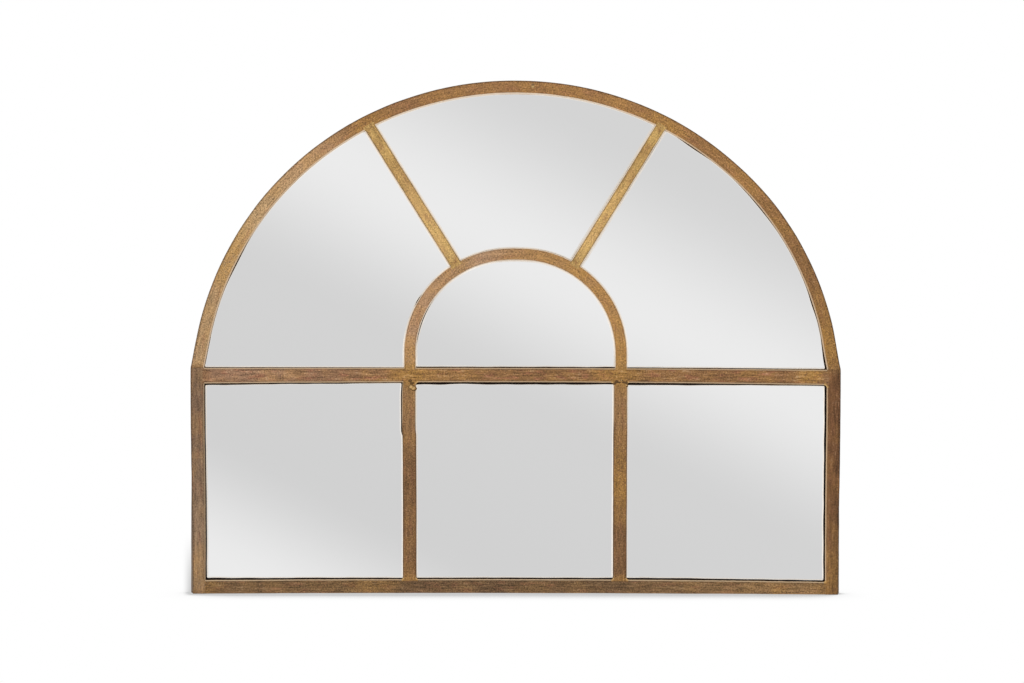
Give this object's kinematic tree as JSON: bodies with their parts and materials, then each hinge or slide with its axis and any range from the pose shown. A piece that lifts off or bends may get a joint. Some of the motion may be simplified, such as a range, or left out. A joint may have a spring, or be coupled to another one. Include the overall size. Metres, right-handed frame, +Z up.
{
  "type": "arched overmantel mirror",
  "caption": "Arched window-style overmantel mirror: a welded steel frame in aged gilt holds separate mirror panes, with turn-buttons and hanging rings behind.",
  "frame": {"origin": "middle of the base on the shelf, halfway through the mirror's depth", "axes": "+X to the right seen from the front, +Z up, the front faces -Y"},
  "size_m": [0.95, 0.0278, 0.75],
  "materials": {
    "aged_gilt": "brushed antique gold over bronze, worn and speckled",
    "mirror_glass": "silvered float glass",
    "glazing_tape": "black, matt",
    "foam": "white closed-cell foam sheet",
    "rubber": "black, matt",
    "hardboard": "brown hardboard, smooth side out",
    "zinc_plate": "bright zinc plate"
  },
  "bodies": {
    "frame": {"left_stile": "aged_gilt", "left_muntin": "aged_gilt", "left_spoke": "aged_gilt", "left_wall_bumper": "rubber", "left_hanger_plate": "zinc_plate", "right_stile": "aged_gilt", "right_muntin": "aged_gilt", "right_spoke": "aged_gilt", "right_wall_bumper": "rubber", "right_hanger_plate": "zinc_plate", "bottom_rail": "aged_gilt", "mid_rail": "aged_gilt", "outer_arch": "aged_gilt", "inner_arch": "aged_gilt", "front_welds": "aged_gilt", "mirror_lower_left": "mirror_glass", "mirror_lower_middle": "mirror_glass", "mirror_lower_right": "mirror_glass", "mirror_inner_arch": "mirror_glass", "mirror_left_fan": "mirror_glass", "mirror_centre_fan": "mirror_glass", "mirror_right_fan": "mirror_glass", "tape_lower_left": "glazing_tape", "tape_lower_middle": "glazing_tape", "tape_lower_right": "glazing_tape", "tape_inner_arch": "glazing_tape", "tape_left_fan": "glazing_tape", "tape_centre_fan": "glazing_tape", "tape_right_fan": "glazing_tape", "backing_foam": "foam", "setting_blocks": "rubber", "back_panel": "hardboard", "button_bosses": "aged_gilt", "button_screws": "zinc_plate", "hanger_bosses": "aged_gilt", "hanger_screws": "zinc_plate"},
    "turn_button_left_stile": {"turn_button_left_stile": "zinc_plate"},
    "turn_button_right_stile": {"turn_button_right_stile": "zinc_plate"},
    "turn_button_bottom_left": {"turn_button_bottom_left": "zinc_plate"},
    "turn_button_bottom_right": {"turn_button_bottom_right": "zinc_plate"},
    "turn_button_arch_left_low": {"turn_button_arch_left_low": "zinc_plate"},
    "turn_button_arch_left_high": {"turn_button_arch_left_high": "zinc_plate"},
    "turn_button_arch_right_low": {"turn_button_arch_right_low": "zinc_plate"},
    "turn_button_arch_right_high": {"turn_button_arch_right_high": "zinc_plate"},
    "left_hanger_ring": {"left_hanger_ring": "zinc_plate"},
    "right_hanger_ring": {"right_hanger_ring": "zinc_plate"}
  },
  "joints": [
    {"name": "turn_left_stile", "type": "hinge", "parent": "frame", "child": "turn_button_left_stile", "pos_m": [-0.4685, 0.00275, 0.165], "axis": [0, 1, 0], "range_deg": [-90, 90]},
    {"name": "turn_right_stile", "type": "hinge", "parent": "frame", "child": "turn_button_right_stile", "pos_m": [0.4685, 0.00275, 0.165], "axis": [0, 1, 0], "range_deg": [-90, 90]},
    {"name": "turn_bottom_left", "type": "hinge", "parent": "frame", "child": "turn_button_bottom_left", "pos_m": [-0.30875, 0.00275, 0.0065], "axis": [0, 1, 0], "range_deg": [-90, 90]},
    {"name": "turn_bottom_right", "type": "hinge", "parent": "frame", "child": "turn_button_bottom_right", "pos_m": [0.30875, 0.00275, 0.0065], "axis": [0, 1, 0], "range_deg": [-90, 90]},
    {"name": "turn_arch_left_low", "type": "hinge", "parent": "frame", "child": "turn_button_arch_left_low", "pos_m": [-0.31685, 0.00275, 0.62411], "axis": [0, 1, 0], "range_deg": [-90, 90]},
    {"name": "turn_arch_left_high", "type": "hinge", "parent": "frame", "child": "turn_button_arch_left_high", "pos_m": [-0.1264, 0.00275, 0.72686], "axis": [0, 1, 0], "range_deg": [-90, 90]},
    {"name": "turn_arch_right_low", "type": "hinge", "parent": "frame", "child": "turn_button_arch_right_low", "pos_m": [0.31685, 0.00275, 0.62411], "axis": [0, 1, 0], "range_deg": [-90, 90]},
    {"name": "turn_arch_right_high", "type": "hinge", "parent": "frame", "child": "turn_button_arch_right_high", "pos_m": [0.1264, 0.00275, 0.72686], "axis": [0, 1, 0], "range_deg": [-90, 90]},
    {"name": "left_ring_swing", "type": "hinge", "parent": "frame", "child": "left_hanger_ring", "pos_m": [-0.39013, 0.00523, 0.52687], "axis": [0.8829, 0, -0.4695], "range_deg": [0, 180]},
    {"name": "right_ring_swing", "type": "hinge", "parent": "frame", "child": "right_hanger_ring", "pos_m": [0.39013, 0.00523, 0.52687], "axis": [0.8829, 0, 0.4695], "range_deg": [0, 180]}
  ]
}
